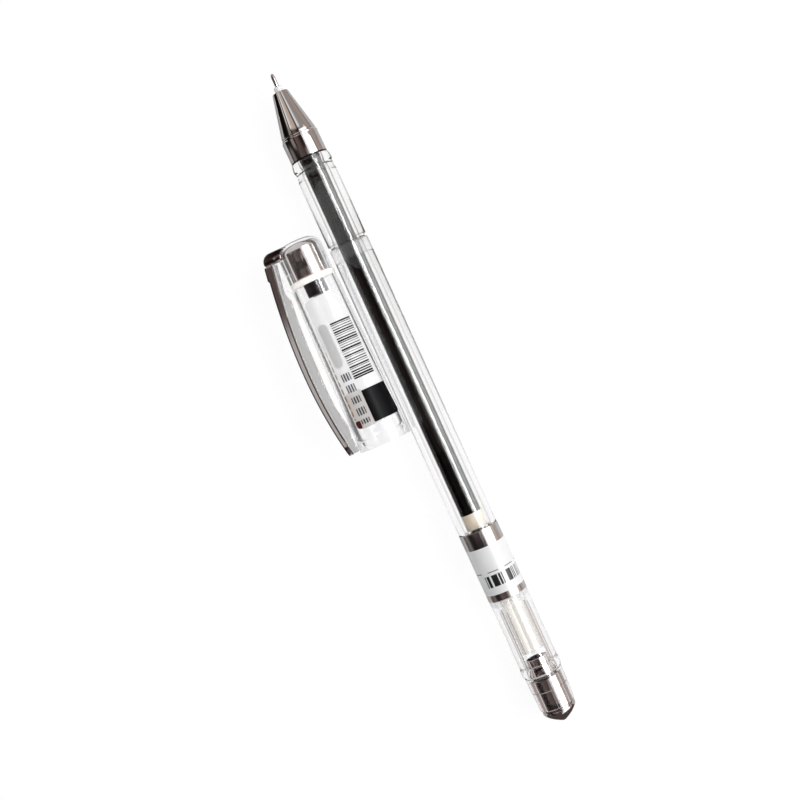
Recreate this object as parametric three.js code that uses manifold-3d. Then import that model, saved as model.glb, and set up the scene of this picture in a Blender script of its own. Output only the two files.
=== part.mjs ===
// A capped gel pen with a needle point, lying beside its cap.
// Millimetres. X runs from the point to the tail, Z is up, and the pen lies on the plane Z = 0.
// A station is a distance along the pen behind the front of the ball. A depth is a distance along
// the cap from its closed end. A reach is a distance from the cap's axis, towards the clip.

import * as THREE from 'three';
import { mergeVertices } from 'three/addons/utils/BufferGeometryUtils.js';
import Module from 'manifold-3d';

const wasm = await Module();
wasm.setup();

// Needle and its ball
const ballDiameter = 0.5;
const ballProud = 0.15;
const ballPlay = 0.015;
const needleDiameter = 0.84;
const needleLipWall = 0.045;
const needleCrimpLength = 0.55;
const needleExposed = 2.9;
const needleSeatLength = 6;
const inkChannelDiameter = 0.3;

// Needle holder
const collarDiameter = 1.8;
const collarExposed = 1.2;
const holderBossLength = 2.2;
const holderPlugLength = 5;
const holderInkBore = 1.2;

// Refill
const refillLength = 129;
const refillDiameter = 4.4;
const refillWall = 0.4;
const inkLength = 78.6;
const inkMeniscus = 0.55;
const followerLength = 3;

// Nose cone
const noseLength = 14.7;
const noseFrontDiameter = 3.42;
const noseFrontEdge = 0.25;
const noseConeLength = 8.1;
const noseConeDiameter = 6.94;
const noseShoulderLength = 2;
const noseSkirtDiameter = 7.62;
const noseRearDiameter = 7.8;
const noseRingSetback = 1.15;
const noseRingWidth = 0.2;
const noseRingDepth = 0.08;
const noseTipLand = 1.2;
const noseInnerStep = 0.7;
const noseThreadLength = 5.5;
const noseShoulderSwell = 0.7;
const noseEdgeSweep = 78;

// Barrel, front section
const barrelDiameter = 8.3;
const beadDiameter = 8.4;
const gripLength = 18.2;
const gripBeadLength = 2;
const gripNeckDiameter = 7.98;
const gripNeckLength = 1.4;
const gripBore = 5.5;
const gripSpigotDiameter = 6.5;
const gripSpigotLength = 5.2;
const jointGrooveWidth = 0.7;
const jointGrooveDepth = 0.4;
const jointSpigotDiameter = 6.8;
const jointSpigotLength = 2.8;

// Barrel, rear tube
const tubeOverhang = 11.2;
const tubeRearDiameter = 8.1;
const tubeBore = 5.85;
const tailBeadSetback = 9.55;
const tailBeadLength = 2.2;
const tailDiameter = 7.88;
const tailRingSetback = 4.05;
const tailRingDepth = 0.07;
const tailEndDiameter = 7.52;
const tailEndRound = 0.2;
const tailBore = 6.84;

// Tail plug
const plugSpigotDiameter = 4.6;
const plugSpigotLength = 3.8;
const plugSpigotBore = 3.2;
const plugBoreLength = 9.5;
const plugBlend = 0.7;
const plugPlay = 0.05;
const plugFlangeDiameter = 7;
const plugFlangeLength = 0.85;
const plugGrooveDepth = 0.18;
const plugGrooveWidth = 0.35;
const plugDomeLength = 2.55;
const plugDomeFlat = 0.9;
const plugDomePower = 1.5;

// Film round the barrel
const labelStation = 101.15;
const labelLength = 15.95;
const filmThickness = 0.08;
const filmGap = 0.02;

// Cap shell
const capLength = 44.4;
const capTopDiameter = 9.45;
const capMouthDiameter = 11.2;
const capCornerRadius = 2.4;
const capEndWall = 0.6;
const capTopWall = 0.6;
const capMouthPlay = 0.15;
const capSnapHeight = 0.12;
const capSnapWidth = 0.6;
const capSnapSetback = 2.2;
const capFlareLength = 1.3;
const capFlareWidth = 0.5;

// Insert, ring and liner in the cap
const insertDiameter = 7.7;
const insertHeadLength = 7.25;
const insertCornerRadius = 1.5;
const insertSpigotDiameter = 4.5;
const insertSpigotLength = 3.9;
const sealRingWidth = 1.1;
const linerWall = 0.55;
const linerPad = 0.3;
const linerSetback = 0.4;

// Clip
const clipWidth = 4;
const clipArmWidth = 3.4;
const clipElbowWidth = 2.1;
const clipElbowReach = 7.66;
const clipElbowRadius = 1.9;
const clipElbowSetback = 0.15;
const clipGap = 0.35;
const clipPeakReach = 9.6;
const clipPeakDepth = 25.8;
const clipRootReach = 8.05;
const clipRootDepth = 5.5;
const clipTipReach = 7.85;
const clipTipSetback = 0.35;
const clipTipRadius = 1.6;
const clipPadHeight = 0.25;
const clipRootThickness = 1.45;
const clipMidThickness = 1.15;
const clipEndThickness = 1;
const armRootThickness = 0.75;
const armRootDepth = 8.7;
const armFrontThickness = 1.6;
const armMidThickness = 1.85;
const armEndThickness = 1.2;
const armRibHeight = 0.5;
const armRibWidth = 2.2;
const wedgeFrontSetback = 10.5;
const wedgePeakSetback = 5.8;
const wedgeEndSetback = 3.7;
const wedgeClearance = 0.2;
const bridgeDepth = 5.7;
const bridgeLength = 2.8;
const bridgeWidth = 3;

// Film on the cap, as seen from above
const capLabelDepth = 12.3;
const capLabelLength = 27.7;
const capLabelFrontReach = 3.45;
const capLabelClipReach = 4;
const capLabelFarReach = 5;
const capLabelCorner = 1;

// Fits shared by several pieces
const seatGap = 0.05;
const restGap = 0.3;
const slideGap = 0.05;
const pressGap = 0.03;
const coneGap = 0.2;
const chamfer = 0.2;
const refillPlay = 0.25;

// Facets round each kind of turned piece
const barrelSides = 48;
const refillSides = 28;
const insertSides = 36;
const needleSides = 16;
const arcSteps = 4;
const stripSteps = 14;
const armSteps = 18;
const innerSteps = 10;

// How far a cutting or trimming solid runs past what it cuts
const overrun = 1;

// Stations along the pen
const collarStation = needleExposed;
const noseStation = collarStation + collarExposed;
const noseRear = noseStation + noseLength;
const gripStation = noseRear + seatGap;
const gripRear = gripStation + gripLength;
const tubeStation = gripRear + jointGrooveWidth;
const tubeRear = refillLength + tubeOverhang;
const plugFlangeStation = tubeRear + seatGap;
const plugDomeStation = plugFlangeStation + plugFlangeLength;
const penLength = plugDomeStation + plugDomeLength;
const plugStation = refillLength + restGap;
const plugBodyStation = plugStation + plugSpigotLength;
const tailBoreStation = plugBodyStation - seatGap;
const refillRadius = refillDiameter / 2;
const refillBore = refillRadius - refillWall;

// The pen lies on its two beads, and the tapered cap on its side
const beadRadius = beadDiameter / 2;
const capMouthRadius = capMouthDiameter / 2;
const capTopRadius = capTopDiameter / 2;
const capTaper = Math.atan2(capMouthRadius - capTopRadius, capLength - capCornerRadius);
const capStation = 33;

const materials = {
  clear: new THREE.MeshStandardMaterial({
    color: 0xeef0f4,
    roughness: 0.05,
    transparent: true,
    opacity: 0.3,
  }),
  refill: new THREE.MeshStandardMaterial({
    color: 0xf3efe4,
    roughness: 0.2,
    transparent: true,
    opacity: 0.35,
  }),
  chrome: new THREE.MeshStandardMaterial({ color: 0xc9c6c4, roughness: 0.08, metalness: 1 }),
  steel: new THREE.MeshStandardMaterial({ color: 0xb8b4b0, roughness: 0.2, metalness: 1 }),
  carbide: new THREE.MeshStandardMaterial({ color: 0x6f6f72, roughness: 0.25, metalness: 1 }),
  ink: new THREE.MeshStandardMaterial({ color: 0x050506, roughness: 0.3 }),
  grease: new THREE.MeshStandardMaterial({ color: 0xe9dcae, roughness: 0.3 }),
  ivory: new THREE.MeshStandardMaterial({ color: 0xf0ebe0, roughness: 0.4 }),
  liner: new THREE.MeshStandardMaterial({ color: 0xd9d9d6, roughness: 0.6 }),
  film: new THREE.MeshStandardMaterial({ color: 0xf4f4f4, roughness: 0.35 }),
};

// Points of an arc, from one angle to another, in degrees
function arc(x, y, radius, from, to, steps = arcSteps) {
  const points = [];
  for (let i = 0; i <= steps; i += 1) {
    const angle = THREE.MathUtils.degToRad(from + ((to - from) * i) / steps);
    points.push([x + radius * Math.cos(angle), y + radius * Math.sin(angle)]);
  }
  return points;
}

// Radius on the straight line from one [station, radius] to another
function between([x0, r0], [x1, r1], x) {
  return r0 + ((r1 - r0) * (x - x0)) / (x1 - x0);
}

// A triangle mesh with shared vertices, no flat triangles and its faces turned outwards
function closed(source) {
  const bare = source.clone();
  bare.deleteAttribute('normal');
  bare.deleteAttribute('uv');
  const merged = mergeVertices(bare, 1e-4);
  const position = merged.attributes.position;
  const kept = [];
  const corners = [new THREE.Vector3(), new THREE.Vector3(), new THREE.Vector3()];
  let volume = 0;
  for (let i = 0; i < merged.index.count; i += 3) {
    const ids = [0, 1, 2].map((k) => merged.index.getX(i + k));
    if (new Set(ids).size === 3) {
      ids.forEach((id, k) => corners[k].fromBufferAttribute(position, id));
      volume += corners[0].dot(corners[1].clone().cross(corners[2]));
      kept.push(ids);
    }
  }
  const geometry = new THREE.BufferGeometry();
  geometry.setAttribute('position', position);
  geometry.setIndex(kept.flatMap(([a, b, c]) => (volume < 0 ? [a, c, b] : [a, b, c])));
  return geometry;
}

function solidOf(geometry) {
  return new wasm.Manifold(new wasm.Mesh({
    numProp: 3,
    vertProperties: new Float32Array(geometry.attributes.position.array),
    triVerts: new Uint32Array(geometry.index.array),
  }));
}

function geometryOf(solid) {
  const mesh = solid.getMesh();
  const geometry = new THREE.BufferGeometry();
  geometry.setAttribute('position', new THREE.BufferAttribute(mesh.vertProperties, 3));
  geometry.setIndex(new THREE.BufferAttribute(mesh.triVerts, 1));
  return geometry;
}

// A piece turned about the X axis from a profile of [station, radius] points
function turned(profile, sides) {
  const points = profile.map(([x, r]) => new THREE.Vector2(r, x));
  const onAxis = profile[0][1] === 0 && profile[profile.length - 1][1] === 0;
  if (!onAxis) {
    points.push(points[0].clone());
  }
  const geometry = new THREE.LatheGeometry(points, sides);
  geometry.rotateZ(-Math.PI / 2);
  return closed(geometry);
}

// A plate with an outline of [depth, reach] points in the clip's plane, centred on that plane
function plate(outline, width) {
  const shape = new THREE.Shape(outline.map(([x, reach]) => new THREE.Vector2(x, -reach)));
  const geometry = new THREE.ExtrudeGeometry(shape, { depth: width, bevelEnabled: false });
  geometry.translate(0, 0, -width / 2);
  return closed(geometry);
}

// A block with an outline of [x, z] points, from one reach to another on the clip's side
function slab(outline, fromReach, toReach) {
  const shape = new THREE.Shape(outline.map(([x, z]) => new THREE.Vector2(x, z)));
  const geometry = new THREE.ExtrudeGeometry(shape, { depth: toReach - fromReach, bevelEnabled: false });
  geometry.rotateX(Math.PI / 2);
  geometry.translate(0, -fromReach, 0);
  return closed(geometry);
}

function piece(name, geometry, material) {
  const mesh = new THREE.Mesh(geometry, material);
  mesh.name = name;
  return mesh;
}

// Needle point: the lip holds the ball in its seat, and the channel behind it feeds the ink
function makeBall() {
  const geometry = new THREE.SphereGeometry(ballDiameter / 2, needleSides, needleSides / 2);
  geometry.rotateZ(-Math.PI / 2);
  geometry.translate(ballDiameter / 2, 0, 0);
  return closed(geometry);
}

function makeNeedle() {
  const ballRadius = ballDiameter / 2;
  const seatRadius = ballRadius + ballPlay;
  const lipBore = Math.sqrt(ballRadius ** 2 - (ballRadius - ballProud) ** 2) + ballPlay;
  const channel = inkChannelDiameter / 2;
  const seatFront = ballDiameter - ballProud / 2;
  const rear = collarStation + needleSeatLength;
  return turned([
    [ballProud, lipBore],
    [ballProud, lipBore + needleLipWall],
    [ballProud + needleCrimpLength, needleDiameter / 2],
    [rear, needleDiameter / 2],
    [rear, channel],
    [seatFront + seatRadius - channel, channel],
    [seatFront, seatRadius],
    [ballRadius, seatRadius],
  ], needleSides);
}

// The nose's inner cone, which the holder's cone seats in
const tipHoleRadius = collarDiameter / 2 + slideGap + pressGap;
const threadBoreRadius = gripSpigotDiameter / 2 + slideGap;
const noseThreadStation = noseRear - noseThreadLength;
const innerConeFront = [noseStation + noseTipLand, tipHoleRadius];
const innerConeRear = [noseThreadStation - noseInnerStep, threadBoreRadius - noseInnerStep];
const coneSlope = (innerConeRear[1] - innerConeFront[1]) / (innerConeRear[0] - innerConeFront[0]);

// Station where the holder's cone, a little inside the nose's, reaches a radius
function holderStation(radius) {
  return innerConeFront[0] + (radius + coneGap - innerConeFront[1]) / coneSlope;
}

const refillStation = holderStation(refillRadius) + holderBossLength;
const holderRear = refillStation + holderPlugLength;

function makeHolder() {
  const front = collarStation;
  const collar = collarDiameter / 2;
  const needleBore = needleDiameter / 2 + pressGap;
  const needleRear = collarStation + needleSeatLength + seatGap;
  const plug = refillBore - pressGap;
  return turned([
    [front, needleBore],
    [front, collar - chamfer / 2],
    [front + chamfer, collar],
    [holderStation(collar), collar],
    [holderStation(refillRadius), refillRadius],
    [refillStation - seatGap, refillRadius],
    [refillStation - seatGap, plug],
    [holderRear - chamfer, plug],
    [holderRear, plug - chamfer],
    [holderRear, holderInkBore / 2],
    [needleRear, holderInkBore / 2],
    [needleRear, needleBore],
  ], refillSides);
}

function makeRefillTube() {
  return turned([
    [refillStation, refillBore],
    [refillStation, refillRadius],
    [refillLength, refillRadius],
    [refillLength, refillBore],
  ], refillSides);
}

// The ink ends in a bulge that the follower's front is hollowed to fit
const inkStation = holderRear + seatGap;
const inkRear = inkStation + inkLength;
const inkRadius = refillBore - pressGap;

// Points of that bulge, from the tube's wall to the axis
function meniscus(offset) {
  const points = [];
  for (let i = 0; i <= arcSteps; i += 1) {
    const angle = (i / arcSteps) * (Math.PI / 2);
    points.push([inkRear + offset + inkMeniscus * Math.sin(angle), inkRadius * Math.cos(angle)]);
  }
  points[arcSteps][1] = 0;
  return points;
}

function makeInk() {
  return turned([[inkStation, 0], [inkStation, inkRadius], ...meniscus(0)], refillSides);
}

function makeFollower() {
  const rear = inkRear + inkMeniscus + followerLength;
  return turned([
    ...meniscus(seatGap).reverse(),
    [rear - chamfer, inkRadius],
    [rear, inkRadius - chamfer],
    [rear, 0],
  ], refillSides);
}

// Nose: a cone that swells into a threaded skirt, with one fine ring turned in the shoulder
function makeNose() {
  const coneEnd = [noseStation + noseConeLength, noseConeDiameter / 2];
  const skirt = [coneEnd[0] + noseShoulderLength, noseSkirtDiameter / 2];
  const frontRadius = noseFrontDiameter / 2;
  const slope = (coneEnd[1] - frontRadius) / noseConeLength;
  const crestStation = coneEnd[0] + (noseShoulderSwell * (skirt[1] - coneEnd[1])) / slope;
  const crest = new THREE.Vector2(crestStation, skirt[1] - chamfer / 4);
  const [from, to] = [coneEnd, skirt].map((point) => new THREE.Vector2(...point));
  const curve = new THREE.QuadraticBezierCurve(from, crest, to);
  const shoulder = curve.getPoints(2 * arcSteps).map((point) => [point.x, point.y]);
  const ring = coneEnd[0] + noseRingSetback;
  const before = shoulder.filter(([x]) => x < ring - chamfer / 4);
  const after = shoulder.filter(([x]) => x > ring + noseRingWidth + chamfer / 4);
  const last = before[before.length - 1];
  const next = after[0];
  const at = (x) => between(last, next, x);
  return turned([
    [noseStation, tipHoleRadius],
    ...arc(noseStation + noseFrontEdge, frontRadius - noseFrontEdge, noseFrontEdge, 180, 180 - noseEdgeSweep),
    ...before,
    [ring, at(ring)],
    [ring, at(ring) - noseRingDepth],
    [ring + noseRingWidth, at(ring + noseRingWidth) - noseRingDepth],
    [ring + noseRingWidth, at(ring + noseRingWidth)],
    ...after,
    [noseRear - chamfer / 2, noseRearDiameter / 2],
    [noseRear, noseRearDiameter / 2 - chamfer / 2],
    [noseRear, threadBoreRadius],
    [noseThreadStation, threadBoreRadius],
    innerConeRear,
    innerConeFront,
  ], barrelSides);
}

// Front section: a threaded spigot for the nose, a bead, a neck, and a spigot into the rear tube
function makeGrip() {
  const spigotFront = gripStation - gripSpigotLength;
  const spigot = gripSpigotDiameter / 2;
  const body = barrelDiameter / 2;
  const neck = gripNeckDiameter / 2;
  const narrow = refillRadius + refillPlay;
  const beadRear = gripStation + gripBeadLength;
  const neckRear = beadRear + gripNeckLength;
  const round = (gripBeadLength - chamfer) / 2;
  const jointSpigot = jointSpigotDiameter / 2;
  const spigotRear = tubeStation + jointSpigotLength;
  const boreStep = gripBore / 2 - narrow;
  return turned([
    [spigotFront, narrow],
    [spigotFront, spigot - chamfer],
    [spigotFront + chamfer, spigot],
    [gripStation, spigot],
    [gripStation, beadRadius - round / 2],
    [gripStation + round / 3, beadRadius - round / 6],
    [gripStation + round, beadRadius],
    [beadRear - round / 2, beadRadius - chamfer / 8],
    [beadRear, neck],
    [neckRear, neck],
    [neckRear + chamfer, body],
    [gripRear, body],
    [gripRear, body - jointGrooveDepth],
    [tubeStation - seatGap, body - jointGrooveDepth],
    [tubeStation - seatGap, jointSpigot],
    [spigotRear, jointSpigot],
    [spigotRear, gripBore / 2],
    [beadRear + boreStep, gripBore / 2],
    [beadRear, narrow],
  ], barrelSides);
}

// Rear tube: slightly narrower towards the tail, with a bead that it lies on and a wide bore at its end
const tubeFrontEdge = [tubeStation, barrelDiameter / 2];
const tailBeadStation = tubeRear - tailBeadSetback;
const tubeRearEdge = [tailBeadStation, tubeRearDiameter / 2];

function tubeRadius(station) {
  return between(tubeFrontEdge, tubeRearEdge, station);
}

function makeTube() {
  const counterbore = jointSpigotDiameter / 2 + slideGap;
  const counterboreRear = tubeStation + jointSpigotLength + restGap;
  const bore = tubeBore / 2;
  const beadRear = tailBeadStation + tailBeadLength;
  const tail = tailDiameter / 2;
  const ring = tubeRear - tailRingSetback;
  const end = tailEndDiameter / 2;
  return turned([
    [tubeStation, counterbore],
    [tubeStation, tubeFrontEdge[1] - chamfer],
    [tubeStation + chamfer, tubeRadius(tubeStation + chamfer)],
    tubeRearEdge,
    [tailBeadStation, tubeRearEdge[1] - chamfer / 3],
    [tailBeadStation + chamfer, tubeRearEdge[1] - chamfer / 3],
    [tailBeadStation + 2 * chamfer, beadRadius - chamfer / 2],
    [tailBeadStation + 4 * chamfer, beadRadius],
    [beadRear - 3 * chamfer, beadRadius],
    [beadRear - chamfer, beadRadius - chamfer / 2],
    [beadRear, tail],
    [ring, tail - tailRingDepth / 2],
    [ring + tailRingDepth, tail - 1.5 * tailRingDepth],
    ...arc(tubeRear - tailEndRound, end - tailEndRound, tailEndRound, 80, 0),
    [tubeRear, tailBore / 2],
    [tailBoreStation, tailBore / 2],
    [tailBoreStation, bore],
    [counterboreRear, bore],
    [counterboreRear, counterbore],
  ], barrelSides);
}

// Tail plug: hollow spigot, a body that fills the tail's bore, a grooved flange and a domed end
function makeTailPlug() {
  const spigot = plugSpigotDiameter / 2;
  const bore = plugSpigotBore / 2;
  const body = tailBore / 2 - plugPlay;
  const flange = plugFlangeDiameter / 2;
  const groove = plugFlangeStation + plugFlangeLength / 2;
  const flat = plugDomeFlat / 2;
  const dome = [];
  for (let i = 0; i <= 2 * arcSteps; i += 1) {
    const along = i / (2 * arcSteps);
    dome.push([plugDomeStation + plugDomeLength * along, flat + (flange - flat) * (1 - along ** plugDomePower)]);
  }
  return turned([
    [plugStation + plugBoreLength, 0],
    [plugStation + plugBoreLength - bore / 2, bore],
    [plugStation + chamfer / 2, bore],
    [plugStation, bore + chamfer / 2],
    [plugStation, spigot - chamfer],
    [plugStation + chamfer, spigot],
    [plugBodyStation, spigot],
    ...arc(plugBodyStation, body, plugBlend, -90, 0, 3).map(([x, r]) => [x, Math.min(r, body)]).slice(1),
    [plugFlangeStation, body],
    [plugFlangeStation, flange - chamfer / 2],
    [plugFlangeStation + chamfer / 2, flange],
    [groove - plugGrooveWidth / 2, flange],
    [groove, flange - plugGrooveDepth],
    [groove + plugGrooveWidth / 2, flange],
    ...dome,
    [penLength, 0],
  ], insertSides);
}

function makeBarrelLabel() {
  const front = labelStation;
  const rear = labelStation + labelLength;
  const inner = (x) => tubeRadius(x) + filmGap;
  return turned([
    [front, inner(front)],
    [front, inner(front) + filmThickness],
    [rear, inner(rear) + filmThickness],
    [rear, inner(rear)],
  ], barrelSides);
}

// Cap: depths from its closed end. The bore widens to the mouth, over a snap ring and a flare.
const insertStation = capEndWall + seatGap;
const sealDepth = insertStation + insertHeadLength;
const boreTopRadius = capTopRadius - capTopWall;
const boreMouthRadius = beadRadius + capMouthPlay;
const capFlareDepth = capLength - capFlareLength;

function capBoreRadius(depth) {
  return between([sealDepth, boreTopRadius], [capFlareDepth, boreMouthRadius], depth);
}

function capOuterRadius(depth) {
  return between([capCornerRadius, capTopRadius], [capLength, capMouthRadius], depth);
}

// Liner: it ends just inside the insert's spigot, and its cup is as deep as the exposed needle
const linerRadius = collarDiameter / 2 + slideGap + linerWall;
const linerRear = sealDepth + insertSpigotLength - linerSetback;
const linerDepth = linerRear - needleExposed - collarExposed - linerPad - restGap;

// Clip: the insert's elbow carries the strip, which bows away from the cap and comes back at the tip
const elbowRootReach = insertDiameter / 2 - insertCornerRadius / 2;
const elbowRear = clipElbowSetback + clipElbowWidth;
const stripFront = elbowRear + clipGap;
const clipTipDepth = capLength - clipTipSetback;
const wedgeFront = capLength - wedgeFrontSetback;
const wedgePeak = capLength - wedgePeakSetback;
const wedgeEnd = capLength - wedgeEndSetback;

// Reach of the strip's outer face
function stripReach(depth) {
  const rise = depth < clipPeakDepth
    ? (clipPeakReach - clipRootReach) / (clipPeakDepth - clipRootDepth) ** 2
    : (clipPeakReach - clipTipReach) / (clipTipDepth - clipPeakDepth) ** 2;
  return clipPeakReach - rise * (depth - clipPeakDepth) ** 2;
}

function stripThickness(depth) {
  return depth < clipPeakDepth
    ? between([stripFront, clipRootThickness], [clipPeakDepth, clipMidThickness], depth)
    : between([clipPeakDepth, clipMidThickness], [clipTipDepth, clipEndThickness], depth);
}

// Reach of the face that the arm and the strip share
function facingReach(depth) {
  return stripReach(depth) - stripThickness(depth);
}

// Depths from one end to another, in equal steps
function steps(from, to, count) {
  return Array.from({ length: count + 1 }, (_, i) => from + ((to - from) * i) / count);
}

// The bridge stops short of the arm's thin root
const bridgeReach = facingReach(bridgeDepth) - seatGap - armRootThickness - restGap;

function makeCapShell() {
  const innerCorner = capCornerRadius - capTopWall;
  const snap = capLength - capSnapSetback;
  const snapFront = snap - capSnapWidth / 2;
  const snapRear = snap + capSnapWidth / 2;
  const shell = solidOf(turned([
    [0, 0],
    ...arc(capCornerRadius, capTopRadius - capCornerRadius, capCornerRadius, 180, 90, 2 * arcSteps),
    [capLength, capMouthRadius],
    [capLength, boreMouthRadius + capFlareWidth],
    [capFlareDepth, boreMouthRadius],
    [snapRear, capBoreRadius(snapRear)],
    [snap, capBoreRadius(snap) - capSnapHeight],
    [snapFront, capBoreRadius(snapFront)],
    [sealDepth, boreTopRadius],
    ...arc(capEndWall + innerCorner, boreTopRadius - innerCorner, innerCorner, 90, 180),
    [capEndWall, 0],
  ], barrelSides));
  const slotHalf = clipWidth / 2 + restGap;
  const slotRear = elbowRear + restGap;
  const slot = solidOf(slab([
    [-overrun, -slotHalf],
    [slotRear, -slotHalf],
    [slotRear, slotHalf],
    [-overrun, slotHalf],
  ], elbowRootReach - restGap, capMouthRadius));
  const bridge = solidOf(plate([
    [bridgeDepth, boreTopRadius + capTopWall / 2],
    [bridgeDepth + chamfer, bridgeReach],
    [bridgeDepth + bridgeLength, bridgeReach],
    [bridgeDepth + 1.5 * bridgeLength, capOuterRadius(bridgeDepth + 2 * bridgeLength) - capTopWall / 2],
  ], bridgeWidth));
  return geometryOf(shell.subtract(slot).add(bridge));
}

// Insert: a rounded head, a spigot for the point, and the elbow that carries the clip
function makeCapInsert() {
  const head = insertDiameter / 2;
  const headRear = insertStation + insertHeadLength - seatGap;
  const spigot = insertSpigotDiameter / 2;
  const spigotRear = sealDepth + insertSpigotLength;
  const bore = linerRadius + pressGap;
  const boreFront = linerDepth - seatGap;
  const body = solidOf(turned([
    [insertStation, 0],
    ...arc(insertStation + insertCornerRadius, head - insertCornerRadius, insertCornerRadius, 180, 90),
    [headRear - chamfer, head],
    [headRear, head - chamfer],
    [headRear, spigot],
    [spigotRear - chamfer / 2, spigot],
    [spigotRear, spigot - chamfer / 2],
    [spigotRear, bore],
    [boreFront, bore],
    [boreFront, 0],
  ], insertSides));
  const elbow = solidOf(plate([
    [elbowRear, elbowRootReach],
    [elbowRear, clipElbowReach],
    ...arc(clipElbowSetback + clipElbowRadius, clipElbowReach - clipElbowRadius, clipElbowRadius, 90, 180),
    [clipElbowSetback, elbowRootReach],
  ], clipWidth));
  return geometryOf(body.add(elbow));
}

// Liner: a soft cup in the spigot, closed at the bottom where the ball comes to rest
function makeNeedleSeal() {
  const bore = linerRadius - linerWall;
  return turned([
    [linerDepth, 0],
    [linerDepth, linerRadius],
    [linerRear, linerRadius],
    [linerRear, bore + chamfer],
    [linerRear - chamfer, bore],
    [linerDepth + linerPad, bore],
    [linerDepth + linerPad, 0],
  ], refillSides);
}

function makeSealRing() {
  const rear = sealDepth + sealRingWidth;
  const bore = insertSpigotDiameter / 2 + pressGap;
  return turned([
    [sealDepth, bore],
    [sealDepth, capBoreRadius(sealDepth) - pressGap],
    [rear, capBoreRadius(rear) - pressGap],
    [rear, bore],
  ], barrelSides);
}

// Strip: a thick root with a raised pad, a bow away from the cap, and a rounded tip
function makeClipStrip() {
  const round = clipEndThickness - chamfer / 2;
  const end = clipTipDepth;
  const side = solidOf(plate([
    [stripFront, facingReach(stripFront)],
    [stripFront, clipElbowReach + clipPadHeight],
    [clipRootDepth - clipPadHeight, stripReach(clipRootDepth) + clipPadHeight],
    [clipRootDepth, stripReach(clipRootDepth)],
    ...steps(clipRootDepth, end - round, stripSteps).slice(1).map((x) => [x, stripReach(x)]),
    [end - round / 3, stripReach(end) - round / 3],
    [end, stripReach(end) - round],
    ...steps(end - chamfer / 2, stripFront, stripSteps).slice(0, -1).map((x) => [x, facingReach(x)]),
  ], clipWidth));
  const half = clipWidth / 2;
  const plan = solidOf(slab([
    [0, -half - overrun],
    [end - clipTipRadius, -half - overrun],
    [end - clipTipRadius, -half],
    ...arc(end - clipTipRadius, -half + clipTipRadius, clipTipRadius, -90, 0).slice(1),
    ...arc(end - clipTipRadius, half - clipTipRadius, clipTipRadius, 0, 90),
    [end - clipTipRadius, half + overrun],
    [0, half + overrun],
  ], 0, clipPeakReach + overrun));
  return geometryOf(side.intersect(plan));
}

// Arm: thin over the bridge, then a full section with a rib that the strip sits on, and a wedge
// that nearly touches the cap's side
const armSwellDepth = armRootDepth + 2 * (armFrontThickness - armRootThickness);

function armThickness(depth) {
  return depth < clipPeakDepth
    ? between([armSwellDepth, armFrontThickness], [clipPeakDepth, armMidThickness], depth)
    : between([clipPeakDepth, armMidThickness], [clipTipDepth, armEndThickness], depth);
}

function makeClipArm() {
  const outer = (x) => facingReach(x) - seatGap;
  const shelf = (x) => outer(x) - armRibHeight;
  const inner = (x) => outer(x) - armThickness(x);
  const rootInner = (x) => outer(x) - armRootThickness;
  const end = clipTipDepth - chamfer;
  const wedgeReach = capOuterRadius(wedgePeak) + wedgeClearance;
  const body = solidOf(plate([
    ...steps(stripFront, end, armSteps).map((x) => [x, shelf(x)]),
    [end, inner(end) + chamfer],
    [end - chamfer, inner(end)],
    [wedgeEnd, inner(wedgeEnd)],
    [wedgePeak + chamfer, wedgeReach],
    [wedgePeak - chamfer, wedgeReach],
    [wedgeFront, inner(wedgeFront)],
    ...steps(wedgeFront, armSwellDepth, innerSteps).slice(1).map((x) => [x, inner(x)]),
    [armRootDepth, rootInner(armRootDepth)],
    [stripFront, rootInner(stripFront)],
  ], clipArmWidth));
  const rib = solidOf(plate([
    ...steps(stripFront, end, armSteps).map((x) => [x, outer(x)]),
    ...steps(end, stripFront, armSteps).map((x) => [x, shelf(x) - pressGap]),
  ], armRibWidth));
  return geometryOf(body.add(rib));
}

// Film on the cap: a rounded patch of a thin cone that follows the shell and widens to the mouth
function makeCapLabel() {
  const front = capLabelDepth;
  const rear = capLabelDepth + capLabelLength;
  const inner = (x) => capOuterRadius(x) + filmGap;
  const cone = solidOf(turned([
    [front - overrun, inner(front - overrun)],
    [front - overrun, inner(front - overrun) + filmThickness],
    [rear + overrun, inner(rear + overrun) + filmThickness],
    [rear + overrun, inner(rear + overrun)],
  ], 2 * barrelSides));
  const corner = capLabelCorner;
  const frontSide = capLabelFrontReach - corner;
  const outline = [
    ...arc(rear - corner, capLabelFarReach - corner, corner, 0, 90),
    ...arc(front + corner, frontSide, corner, 90, 180),
    ...arc(front + corner, -frontSide, corner, 180, 270),
    ...arc(rear - corner, corner - capLabelClipReach, corner, 270, 360),
  ];
  const shape = new THREE.Shape(outline.map(([x, y]) => new THREE.Vector2(x, y)));
  const patch = closed(new THREE.ExtrudeGeometry(shape, { depth: capMouthDiameter, bevelEnabled: false }));
  return geometryOf(cone.intersect(solidOf(patch)));
}

// The cap's mouth lies against the barrel, and the two together are centred on Y = 0
const touching = tubeRadius(capStation + capLength) + capMouthRadius;
const capSpacing = Math.sqrt(touching ** 2 - (capMouthRadius - beadRadius) ** 2) + seatGap;
const barrelY = (capSpacing + clipPeakReach - beadRadius) / 2;
const capY = barrelY - capSpacing;

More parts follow.
